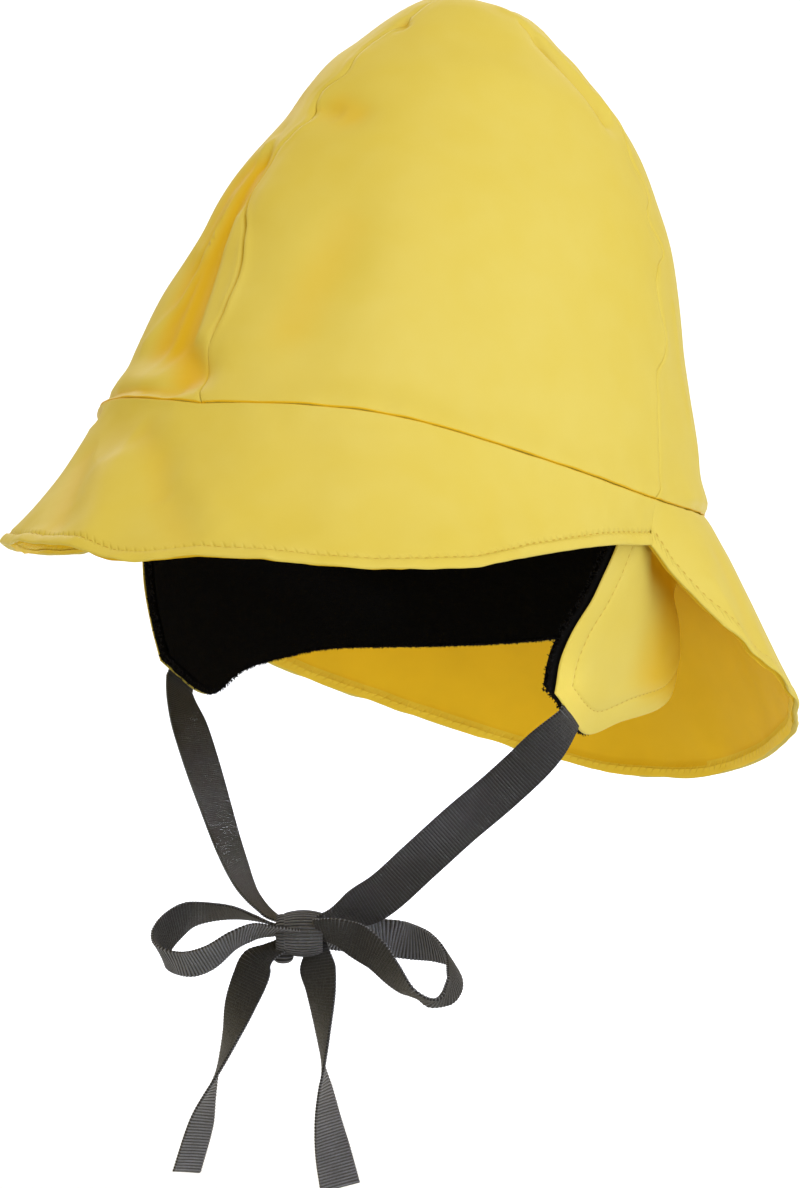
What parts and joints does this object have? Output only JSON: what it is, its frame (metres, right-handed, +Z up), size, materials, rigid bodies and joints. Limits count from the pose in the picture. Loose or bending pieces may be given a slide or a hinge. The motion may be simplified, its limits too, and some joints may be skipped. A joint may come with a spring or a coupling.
{
  "type": "rain hat",
  "caption": "Child's sou'wester rain hat: a tall crown sewn from gores, a short front brim, a long flared brim over the neck, fleece-lined ear flaps and a chin strap tied in a bow.",
  "frame": {"origin": "middle of the head opening, level with the seam between crown and brim, where the hat sits on the head", "axes": "+Z up along the plumb line of the hanging strap, the front of the hat faces -Y, and +X is the wearer's left"},
  "size_m": [0.2047, 0.2627, 0.3368],
  "materials": {
    "coated_cloth": "satin",
    "fleece": "matte",
    "ribbon": "matte"
  },
  "bodies": {
    "root": {"crown_front_left": "coated_cloth", "crown_back_left": "coated_cloth", "crown_back_right": "coated_cloth", "crown_front_right": "coated_cloth", "front_brim": "coated_cloth", "back_brim": "coated_cloth", "neck_band": "coated_cloth", "fleece_lining": "fleece", "bow_knot": "ribbon", "strap_left": "ribbon", "strap_right": "ribbon", "bow_loop_left": "ribbon", "bow_loop_right": "ribbon", "bow_tail_left": "ribbon", "bow_tail_right": "ribbon"}
  },
  "joints": []
}
